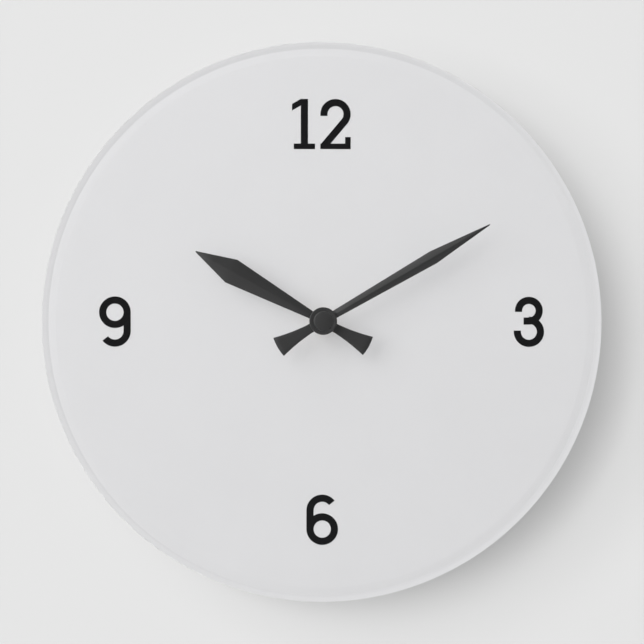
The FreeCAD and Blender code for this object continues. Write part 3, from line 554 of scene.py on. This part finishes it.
def merged_copy(node):
    """The node's shape as whole faces."""
    shape = bmesh.new()
    shape.from_mesh(nodes[node].data)
    bmesh.ops.remove_doubles(shape, verts=shape.verts, dist=0.002 * mm)
    bmesh.ops.dissolve_limit(shape, angle_limit=math.radians(0.5), verts=shape.verts,
                             edges=shape.edges, use_dissolve_boundaries=False)
    bmesh.ops.recalc_face_normals(shape, faces=shape.faces)
    return shape


def creases(shape, sharpest=120):
    """Edges whose faces turn by more than 60 degrees and at most by the sharpest."""
    low, high = math.radians(60), math.radians(sharpest)
    return [edge for edge in shape.edges
            if len(edge.link_faces) == 2 and low < edge.calc_face_angle(0) <= high]


# ------------------------------------------------------------ disc and figures
def make_disc():
    """Clear disc with a polished round front edge; its back face carries the white print."""
    low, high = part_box("acrylic_disc")
    front, back = low.y, high.y - print_thickness
    radius = min(-low.x, high.x, -low.z, high.z)
    flat_end = radius - disc_edge_radius - disc_loop_gap
    back_end = radius - disc_back_edge - disc_loop_gap
    shape = turned([
        (disc_bore_radius, front), (flat_end, front), (radius, front),
        (radius, back), (back_end, back), (disc_bore_radius, back),
    ], disc_steps, closed=True)
    round_off(shape, hoop(shape, radius, front), disc_edge_radius, 12)
    round_off(shape, hoop(shape, radius, back), disc_back_edge, 2)
    for face in shape.faces:
        printed = all(abs(corner.co.y - back) < near for corner in face.verts)
        face.material_index = 1 if printed else 0
    disc = add_piece("printed_disc", shape, [slot_finishes["acrylic"], print_finish],
                     "clock_body", ["acrylic_disc"], crease=50)
    return disc, back


class Stroke:
    """A flat ribbon, in millimetres: an edge across it, drawn along straights and bends."""

    def __init__(self, start, end):
        self.shape = bmesh.new()
        corners = [self.shape.verts.new((x * mm, 0, z * mm)) for x, z in (start, end)]
        self.end = self.shape.edges.new(corners)

    def straight(self, x, z):
        made = bmesh.ops.extrude_edge_only(self.shape, edges=[self.end])["geom"]
        corners = corners_of(made)
        bmesh.ops.translate(self.shape, verts=corners, vec=(x * mm, 0, z * mm))
        self.end = next(edge for edge in edges_of(made)
                        if all(corner in corners for corner in edge.verts))
        return self

    def bend(self, x, z, degrees):
        """Turns about a point, clockwise as the dial is read."""
        made = bmesh.ops.spin(self.shape, geom=[self.end], cent=(x * mm, 0, z * mm),
                              axis=(0, 1, 0), angle=math.radians(degrees),
                              steps=round(abs(degrees) / bend_step))
        self.end = edges_of(made["geom_last"])[0]
        return self

    def solid(self, thickness):
        bmesh.ops.remove_doubles(self.shape, verts=self.shape.verts, dist=near)
        return thickened(self.shape, (0, thickness, 0))


# for drawing the figures about their middles, in millimetres
half = numeral_height / mm / 2
pen = stem_width / mm
slab = slab_height / mm
one_foot = 5.2                  # half the width of the slab under the 1
two_radius = 7.4


def draw_one():
    flag_height, flag_reach, flag_drop = 3.2, 4.3, 2.5
    return [
        Stroke((-pen / 2, slab - half), (pen / 2, slab - half)).straight(0, 2 * half - slab),
        Stroke((-one_foot, slab - half), (-one_foot, -half)).straight(2 * one_foot, 0),
        Stroke((-pen / 2, half), (-pen / 2, half - flag_height)).straight(-flag_reach, -flag_drop),
    ]


def draw_two():
    tail, serif, slant = 0.9, 3.2, 40
    bowl_z = half - two_radius
    drop = bowl_z - (two_radius - pen) * math.sin(math.radians(slant)) + half - slab
    return [
        Stroke((-two_radius, bowl_z - tail), (pen - two_radius, bowl_z - tail))
        .straight(0, tail).bend(0, bowl_z, 180 + slant)
        .straight(-drop * math.tan(math.radians(slant)), -drop),
        Stroke((-two_radius, slab - half), (-two_radius, -half)).straight(2 * two_radius, 0),
        Stroke((two_radius - slab, slab - half), (two_radius, slab - half)).straight(0, serif),
    ]


def draw_three():
    upper, lower, tail, arm = 6.8, 7.4, 0.6, 2.6
    upper_z, lower_z = half - upper, lower - half
    return [
        Stroke((-upper, upper_z - tail), (pen - upper, upper_z - tail))
        .straight(0, tail).bend(0, upper_z, 270).straight(-arm, 0),
        Stroke((-lower, lower_z + tail), (pen - lower, lower_z + tail))
        .straight(0, -tail).bend(0, lower_z, -270),
    ]


def draw_six():
    bowl, hook = 7.7, 142
    bowl_z = bowl - half
    return [
        Stroke((-bowl, bowl_z), (pen - bowl, bowl_z)).bend(0, bowl_z, 360),
        Stroke((-bowl, bowl_z), (pen - bowl, bowl_z))
        .straight(0, -2 * bowl_z).bend(0, -bowl_z, hook),
    ]


def draw_nine():
    strokes = draw_six()
    for stroke in strokes:
        bmesh.ops.rotate(stroke.shape, verts=stroke.shape.verts, cent=(0, 0, 0),
                         matrix=Matrix.Rotation(math.pi, 3, "Y"))
    return strokes


def make_figure(name, strokes, x, z, back):
    """One figure of the dial, as ink just in front of the white print."""
    shape = fused([stroke.solid(-ink_thickness) for stroke in strokes])
    bmesh.ops.translate(shape, verts=shape.verts, vec=(x, back - ink_to_print, z))
    add_piece(name, shape, [ink_finish], "clock_body")


def make_figures(back):
    one_x = -numeral_gap / 2 - two_radius * mm
    two_x = numeral_gap / 2 + one_foot * mm
    make_figure("numeral_twelve_one", draw_one(), one_x, end_numeral_offset, back)
    make_figure("numeral_twelve_two", draw_two(), two_x, end_numeral_offset, back)
    make_figure("numeral_three", draw_three(), side_numeral_offset, 0, back)
    make_figure("numeral_six", draw_six(), 0, -end_numeral_offset, back)
    make_figure("numeral_nine", draw_nine(), -side_numeral_offset, 0, back)


# ------------------------------------------------------------ hands and cap
def crown(share):
    """Height of the ridge, from 0 at a side to nearly 1 in the middle, where it is rounded."""
    out = abs(share)
    if out < ridge_softness:
        return 1 - ridge_softness / 2 - out * out / (2 * ridge_softness)
    return 1 - out


def first_row(shape, x, half_width):
    corners = [shape.verts.new((x, share * half_width, 0)) for share in across]
    return [shape.edges.new(pair) for pair in zip(corners, corners[1:])]


def add_station(shape, row, x, half_width, rise):
    """Draws a section on to a place along the hand; its middle stands the rise above its sides."""
    made = bmesh.ops.extrude_edge_only(shape, edges=row)["geom"]
    corners = corners_of(made)
    lowest = min(corner.co.y for corner in corners)
    width = max(corner.co.y for corner in corners) - lowest
    for corner in corners:
        share = 2 * (corner.co.y - lowest) / width - 1
        corner.co = (x, share * half_width, rise * crown(share))
    return [edge for edge in edges_of(made) if all(corner in corners for corner in edge.verts)]


def draw_blade(form):
    """Ridged blade along +X, widest at its broad place."""
    shape = bmesh.new()
    broad_at, broad_width, root_width = form["broad_at"], form["broad_width"], form["root_width"]
    point_length = form["length"] - broad_at
    widening = (broad_width - root_width) / (broad_at - hand_root) / 2
    tapering = (broad_width - hand_tip_width) / point_length / 2

    def half_width(x):
        if x < broad_at:
            return root_width / 2 + widening * (x - hand_root)
        return broad_width / 2 - tapering * (x - broad_at)

    start = (form["bore_radius"] + hand_hub_radius) / 2
    row = first_row(shape, start, half_width(start))
    row = add_station(shape, row, ridge_start, half_width(ridge_start), 0)
    row = add_station(shape, row, hand_root, half_width(hand_root),
                      form["root_slope"] * half_width(hand_root))
    stations = [slope_settled + share * (broad_at - slope_settled) for share in blade_stations]
    stations += [broad_at + share * point_length for share in point_stations]
    for x in stations:
        row = add_station(shape, row, x, half_width(x), form["slope"] * half_width(x))
    return shape


def draw_tail(form):
    """Flat tail along -X: its sides flare in hollow curves and its end is an arc about the hub."""
    shape = bmesh.new()
    half_root, half_end = tail_root_width / 2, tail_end_width / 2
    corner_x = math.sqrt(tail_length ** 2 - half_end ** 2)
    row = first_row(shape, -(form["bore_radius"] + hand_hub_radius) / 2, half_root)
    row = add_station(shape, row, -hand_root, half_root, 0)
    for step in range(1, tail_steps + 1):
        share = step / tail_steps
        x = hand_root + share * (corner_x - hand_root)
        half_width = half_root + share * (half_end - half_root)
        hollow = 4 * share * (1 - share) * tail_side_hollow
        row = add_station(shape, row, -x, half_width - hollow, 0)
    for corner in {corner for edge in row for corner in edge.verts}:
        corner.co.x = -math.sqrt(tail_length ** 2 - corner.co.y ** 2)
    return shape


def draw_hub(form):
    """Flat ring round the bore."""
    shape = bmesh.new()
    ends = [shape.verts.new((radius, 0, 0)) for radius in (form["bore_radius"], hand_hub_radius)]
    bmesh.ops.spin(shape, geom=[*ends, shape.edges.new(ends)], cent=(0, 0, 0), axis=(0, 0, 1),
                   angle=2 * math.pi, steps=hand_hub_steps, use_merge=True)
    return shape


def make_hand(node, body):
    """Pressed sheet hand: hub, soft-ridged blade and flat tail in one, with eased edges."""
    form = hands[node]
    shape = fused([thickened(sheet, (0, 0, hand_sheet))
                   for sheet in (draw_hub(form), draw_blade(form), draw_tail(form))])
    round_off(shape, creases(shape, 130), hand_edge, 2)
    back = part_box(node)[1].y
    turn = math.radians(form["angle"])
    along = Vector((math.sin(turn), 0, math.cos(turn)))
    aside = Vector((-math.cos(turn), 0, math.sin(turn)))
    seat = Matrix((along, aside, (0, -1, 0))).transposed().to_4x4()
    bmesh.ops.transform(shape, verts=shape.verts, matrix=Matrix.Translation((0, back, 0)) @ seat)
    return add_piece(f"pressed_{node}", shape, [slot_finishes["dark_paint"]], body,
                     [node], crease=40)


def make_cap():
    """Stepped cap: a bevelled top in a slightly dished ring with a rounded rim."""
    low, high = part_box("centre_cap")
    radius = min(high.x, high.z)
    top, base = low.y, high.y
    foot = top + cap_top_height
    shape = turned([
        (0, top), (cap_top_radius - cap_top_bevel, top), (cap_top_radius, top + cap_top_bevel),
        (cap_top_radius, foot), (radius, foot - cap_dish), (radius, base),
        (cap_bore_radius, base), (cap_bore_radius, top + cap_roof), (0, top + cap_roof),
    ])
    round_off(shape, hoop(shape, radius, foot - cap_dish), cap_rim_radius, 5)
    rims = (hoop(shape, cap_top_radius - cap_top_bevel, top)
            + hoop(shape, cap_top_radius, top + cap_top_bevel)
            + hoop(shape, radius, base))
    round_off(shape, rims, cap_corner, 3)
    return add_piece("stepped_cap", shape, [slot_finishes["dark_cap"]], "minute_drive",
                     ["centre_cap"], crease=40)


# ------------------------------------------------------------ movement
def make_cell():
    """Dry cell: a steel can in a plain jacket that is rolled over both of its ends."""
    low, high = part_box("aa_cell")
    radius = (high.z - low.z) / 2
    minus, plus = low.x, high.x
    shoulder = plus - cell_nub_height
    jacket_end = radius - jacket_overlap
    jacket_minus, jacket_plus = minus + jacket_sink_minus, shoulder - jacket_sink_plus
    inner_foot, inner_top, outer_top, outer_foot = cell_ring_radii
    shoulder_top, shoulder_foot = cell_shoulder_radii
    shape = turned([
        (0, minus + cell_plate_sink), (inner_foot, minus + cell_plate_sink),
        (inner_top, minus), (outer_top, minus),
        (outer_foot, minus + cell_end_sink), (jacket_end, minus + cell_end_sink),
        (jacket_end, jacket_minus), (radius, jacket_minus),
        (radius, jacket_plus), (jacket_end, jacket_plus),
        (jacket_end, shoulder - cell_end_sink), (shoulder_foot, shoulder - cell_end_sink),
        (shoulder_top, shoulder), (cell_nub_radius, shoulder),
        (cell_nub_radius, plus), (0, plus),
    ])
    jacket_rims = hoop(shape, radius, jacket_minus) + hoop(shape, radius, jacket_plus)
    round_off(shape, jacket_rims, jacket_corner, 4)
    round_off(shape, hoop(shape, cell_nub_radius, plus), cell_nub_corner, 3)
    for face in shape.faces:
        middle = face.calc_center_median()
        jacketed = math.hypot(middle.x, middle.z) > jacket_end - near
        face.material_index = 0 if jacketed else 1
    bmesh.ops.rotate(shape, verts=shape.verts, cent=(0, 0, 0),
                     matrix=Matrix.Rotation(-math.pi / 2, 3, "Z"))
    bmesh.ops.translate(shape, verts=shape.verts,
                        vec=(0, (low.y + high.y) / 2, (low.z + high.z) / 2))
    add_piece("dry_cell", shape, [slot_finishes["cell_jacket"], cell_steel], "cell",
              ["aa_cell"], crease=40)


def soften(name, node, body, finish, easing, level=None):
    """A copy of a node with its hard edges eased, or only those in one level across the clock."""
    shape = merged_copy(node)
    edges = [edge for edge in creases(shape)
             if level is None or all(abs(corner.co.y - level) < near for corner in edge.verts)]
    round_off(shape, edges, easing, 2)
    piece = add_piece(name, shape, [finish], body, [node], crease=50)
    piece.modifiers.new("flat_faces", "WEIGHTED_NORMAL").keep_sharp = True


def make_case():
    """The case's two mouldings, the hanger and the setting knob, with the edges of their tools."""
    case_foot, cover_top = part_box("rear_case")[1].y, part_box("front_case")[0].y
    knob_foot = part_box("setting_knob")[1].y
    soften("moulded_case", "rear_case", "clock_body", case_back,
           moulding_corner, case_foot)
    soften("case_cover", "front_case", "clock_body", slot_finishes["case_black"],
           moulding_corner, cover_top)
    soften("stamped_hanger", "hanger", "clock_body", plated_steel, hanger_corner)
    soften("fluted_knob", "setting_knob", "knob", slot_finishes["knob_white"],
           knob_corner, knob_foot)


def make_bay_signs():
    """Raised plus and minus on the floor of the battery bay, under the ends of the cell."""
    low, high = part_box("aa_cell")
    minus_x, plus_x = low.x / mm + sign_inset, high.x / mm - sign_inset
    strokes = [Stroke((x - sign_arm, -sign_bar / 2), (x - sign_arm, sign_bar / 2))
               .straight(2 * sign_arm, 0) for x in (minus_x, plus_x)]
    strokes.append(Stroke((plus_x - sign_bar / 2, -sign_arm), (plus_x + sign_bar / 2, -sign_arm))
                   .straight(0, 2 * sign_arm))
    shape = fused([stroke.solid(sign_height) for stroke in strokes])
    round_off(shape, creases(shape), sign_corner, 1)
    bay_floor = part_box("rear_case")[0].y
    bmesh.ops.translate(shape, verts=shape.verts, vec=(0, bay_floor, (low.z + high.z) / 2))
    add_piece("bay_signs", shape, [slot_finishes["case_black"]], "clock_body")


def make_knob_arrow():
    """Raised arrow round the dish of the knob: the way to turn it."""
    low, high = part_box("setting_knob")
    shaft = Stroke((-arrow_outer, 0), (-arrow_inner, 0)).bend(0, 0, arrow_sweep)
    place = at_bearing(arrow_tip_bearing, (arrow_inner + arrow_outer) / 2 * mm, 0)
    turn = Matrix.Rotation(-arrow_tip_turn, 4, "Y")
    tip = bmesh.new()
    bmesh.ops.create_circle(tip, cap_ends=True, segments=3, radius=arrow_tip_radius,
                            matrix=Matrix.Translation(place) @ turn @ upright)
    shape = fused([shaft.solid(sign_height), thickened(tip, (0, sign_height, 0))])
    round_off(shape, creases(shape), arrow_corner, 1)
    dish = high.y - knob_dish_depth
    bmesh.ops.translate(shape, verts=shape.verts,
                        vec=((low.x + high.x) / 2, dish, (low.z + high.z) / 2))
    add_piece("knob_arrow", shape, [slot_finishes["knob_white"]], "knob")


# ------------------------------------------------------------ finishes of the nodes
def dress_nodes():
    """Gives every node the finish of its slot in the record."""
    for part in frame["record"]["subparts"]:
        mesh = nodes[part["node"]].data
        mesh.materials.clear()
        mesh.materials.append(slot_finishes[part["material_slot"]])
    nodes["hanger"].data.materials[0] = plated_steel


# ------------------------------------------------------------ stage
def at_bearing(bearing, reach, forward):
    """A point at a reach from the hub along a bearing, and forward of the wall."""
    return Vector((reach * math.sin(bearing), -forward, reach * math.cos(bearing)))


wall_half_width = 0.9
wall_gap = 0.3 * mm               # behind the clock
wall_paint_range = (0.1075, 0.0925)  # away from the lamp and near it, which evens out its light
wall_paint_reach = 0.25           # from the hub to where the paint is as light or dark as it gets
wall_unevenness = 6 * mm          # by which the plaster shifts that change
wall_glow = 0.305
floor_half_width = 4.0
floor_depth = 0.45                # below the hub
floor_paint_range = (0.19, 0.21)
floor_glow = 0.62

lamp_bearing = math.radians(295)  # clockwise from twelve
wash_bearing = math.radians(320)
lamp_slope = math.radians(44)     # off the dial's normal
lamp_distance = 5.0
lamp_place, wash_place = (at_bearing(bearing, math.sin(lamp_slope) * lamp_distance,
                                     math.cos(lamp_slope) * lamp_distance)
                          for bearing in (lamp_bearing, wash_bearing))
lamp_size = 4.15
lamp_power = 322
sheen_power = 455
hand_shadow_share = 0.3           # part of the lamp's light that the hands shade
wall_lamps = {  # power, width, and the radius and offset of the clock's shadow on the wall
    "firm": (1100, 28 * mm, 126.3 * mm, 19.9 * mm),
    "soft": (475, 49 * mm, 133.9 * mm, 34.8 * mm),
}
back_lamp_place = (0.9, 1.7, 1.1)
back_lamp_size = 1.6
back_lamp_power = 40

backdrop = 0.799                  # greys of the world: as seen,
room_fill = 0.25                  # as it lights the clock,
room_mirrored = (0.72, 0.05)      # and as mirrored, in general and at the dark side
dark_side = (0.2, -0.951, 0.237)
dark_side_start = 0.6             # cosine of the angle at which it begins


def wall_paint():
    """Painted wall that only shows from its front, so that the clock's back can be seen."""
    finish = new_finish("wall_paint")
    seen = finish.ray("Camera") + finish.ray("Glossy") + finish.ray("Transmission")
    front = 1 - finish.node("ShaderNodeNewGeometry", output="Backfacing")
    plaster = finish.speckle(60 * mm)
    to_lamp = finish.towards(at_bearing(lamp_bearing, 1, 0), finish.place())
    share = finish.between_0_and_1(to_lamp + wall_unevenness * plaster,
                                   -wall_paint_reach, wall_paint_reach)
    away_from_lamp, near_lamp = wall_paint_range
    paint = finish.surface(finish.between(share, grey(away_from_lamp), grey(near_lamp)), 1.0,
                           Specular_IOR_Level=0.0, Emission_Color=opaque(grey(wall_glow)),
                           Emission_Strength=1.0)
    return finish.finished(finish.clear_where(1 - seen * front, paint))


def floor_paint():
    """Plain pale floor."""
    finish = new_finish("floor_paint")
    dark, light = floor_paint_range
    colour = finish.between(finish.speckle(120 * mm, 3.0), grey(dark), grey(light))
    return finish.finished(finish.surface(colour, 0.85, Specular_IOR_Level=0.0,
                                          Emission_Color=opaque(grey(floor_glow)),
                                          Emission_Strength=1.0))


def add_stage_sheet(name, size, matrix, finish):
    shape = bmesh.new()
    bmesh.ops.create_grid(shape, x_segments=2, y_segments=2, size=size, matrix=matrix)
    sheet = as_object(name, shape)
    sheet.data.materials.append(finish)
    sheet.visible_diffuse = False
    return sheet


def make_stage():
    wall = add_stage_sheet("wall", wall_half_width,
                           Matrix.Translation((0, wall_gap, 0)) @ upright, wall_paint())
    floor = add_stage_sheet("floor", floor_half_width,
                            Matrix.Translation((0, 0, -floor_depth)), floor_paint())
    floor.visible_glossy = False
    return wall


def make_screen(name, shadow_radius, shadow_offset):
    """Unseen round screen half-way to a lamp of the wall, which gives the wall a soft shadow."""
    shape = bmesh.new()
    middle = (lamp_place + at_bearing(lamp_bearing, -shadow_offset, 0)) / 2
    bmesh.ops.create_circle(shape, cap_ends=True, segments=turning_steps,
                            radius=shadow_radius / 2,
                            matrix=Matrix.Translation(middle) @ upright)
    screen = as_object(name, shape)
    screen.visible_camera = screen.visible_diffuse = False
    screen.visible_glossy = screen.visible_transmission = False
    return screen


def add_lamp(name, place, size, power):
    """Square lamp that faces the hub."""
    lamp = bpy.data.lights.new(name, "AREA")
    lamp.shape = "SQUARE"
    lamp.size = size
    lamp.energy = power
    holder = bpy.data.objects.new(name, lamp)
    holder.location = place
    away = Vector(place).normalized()
    aside = away.cross(Vector((0, -1, 0))).normalized()
    holder.rotation_euler = Matrix((aside, away.cross(aside), away)).transposed().to_euler()
    bpy.context.scene.collection.objects.link(holder)
    return holder


def group_of(name, pieces, state):
    """Pieces that a lamp is kept to, or that it passes over."""
    group = bpy.data.collections.new(name)
    for piece in pieces:
        group.objects.link(piece)
    for member in group.collection_objects:
        member.light_linking.link_state = state
    return group


def light_dial(wall, unshading):
    """A big soft lamp from the upper left, in two parts, of which the hands shade one."""
    key = add_lamp("key_lamp", lamp_place, lamp_size, lamp_power * hand_shadow_share)
    wash = add_lamp("wash_lamp", wash_place, lamp_size, lamp_power * (1 - hand_shadow_share))
    wash.light_linking.blocker_collection = group_of("not_shading_wash", unshading, "EXCLUDE")
    for lamp in (key, wash):
        lamp.visible_glossy = lamp.visible_transmission = False
        without_wall = group_of(f"without_{lamp.name}", [wall], "EXCLUDE")
        lamp.light_linking.receiver_collection = without_wall


def light_wall(wall):
    """Two small lamps for the wall alone: together they draw the clock's soft shadow."""
    for name, (power, width, shadow_radius, shadow_offset) in wall_lamps.items():
        lamp = add_lamp(f"{name}_wall_lamp", lamp_place, width, power)
        lamp.data.shape, lamp.data.size_y = "RECTANGLE", width * math.cos(lamp_slope)
        lamp.visible_glossy = lamp.visible_transmission = False
        screen = make_screen(f"{name}_screen", shadow_radius, shadow_offset)
        linking = lamp.light_linking
        linking.receiver_collection = group_of(f"lit_by_{name}_lamp", [wall], "INCLUDE")
        linking.blocker_collection = group_of(f"shading_{name}_lamp", [screen], "INCLUDE")


def light_paint(disc):
    """Sheen on everything but the disc."""
    sheen = add_lamp("sheen_lamp", lamp_place, lamp_size, sheen_power)
    sheen.visible_diffuse = False
    sheen.light_linking.receiver_collection = group_of("without_sheen", [disc], "EXCLUDE")


def light_back():
    """A weak lamp behind, which adds no bounced light."""
    lamp = add_lamp("back_lamp", back_lamp_place, back_lamp_size, back_lamp_power)
    lamp.visible_transmission = False
    glow = Finish(lamp.data)
    glow.finished(glow.node("ShaderNodeEmission", inputs={"Strength": 1 - glow.ray("Diffuse")}))


def light_room():
    """An even world, with a dark side for what the paint mirrors."""
    world = bpy.data.worlds.new("studio_world")
    bpy.context.scene.world = world
    finish = Finish(world)
    seen = finish.ray("Camera") + finish.ray("Transmission")
    direction = finish.node("ShaderNodeTexCoord", output="Generated")
    in_the_dark = finish.between_0_and_1(finish.towards(dark_side, direction),
                                         dark_side_start, 1.0)
    room_bright, room_dark = room_mirrored
    room = finish.between(in_the_dark, grey(room_bright), grey(room_dark))
    colour = finish.between(finish.ray("Glossy"), grey(room_fill), room)
    colour = finish.between(seen, colour, grey(backdrop))
    finish.finished(finish.node("ShaderNodeBackground", inputs={"Color": colour, "Strength": 1.0}))


def set_camera():
    """Long lens a little left of and below the middle of the dial."""
    level = math.cos(camera_below)
    away = Vector((-math.sin(camera_left) * level, -math.cos(camera_left) * level,
                   -math.sin(camera_below)))
    picture_width = picture_pixels * millimetres_per_pixel * mm
    lens = bpy.data.cameras.new("camera")
    lens.sensor_width = 36
    lens.lens = lens.sensor_width * camera_distance / picture_width
    camera = bpy.data.objects.new("camera", lens)
    camera.location = camera_target + away * camera_distance
    camera.rotation_euler = (-away).to_track_quat("-Z", "Y").to_euler()
    bpy.context.scene.collection.objects.link(camera)
    bpy.context.scene.camera = camera


dress_nodes()
printed_disc, print_level = make_disc()
make_figures(print_level)
at_hub = [make_hand("hour_hand", "hour_drive"), make_hand("minute_hand", "minute_drive"),
          make_cap()]
at_hub += [nodes[name] for name in (
    "dial_nut", "dial_washer", "centre_bush", "hour_hand_bush", "minute_hand_bush",
    "hour_wheel", "minute_arbor")]
make_cell()
make_case()
make_bay_signs()
make_knob_arrow()
clock_wall = make_stage()
light_dial(clock_wall, at_hub)
light_wall(clock_wall)
light_paint(printed_disc)
light_back()
light_room()
set_camera()
bpy.context.scene.view_settings.view_transform = "Standard"
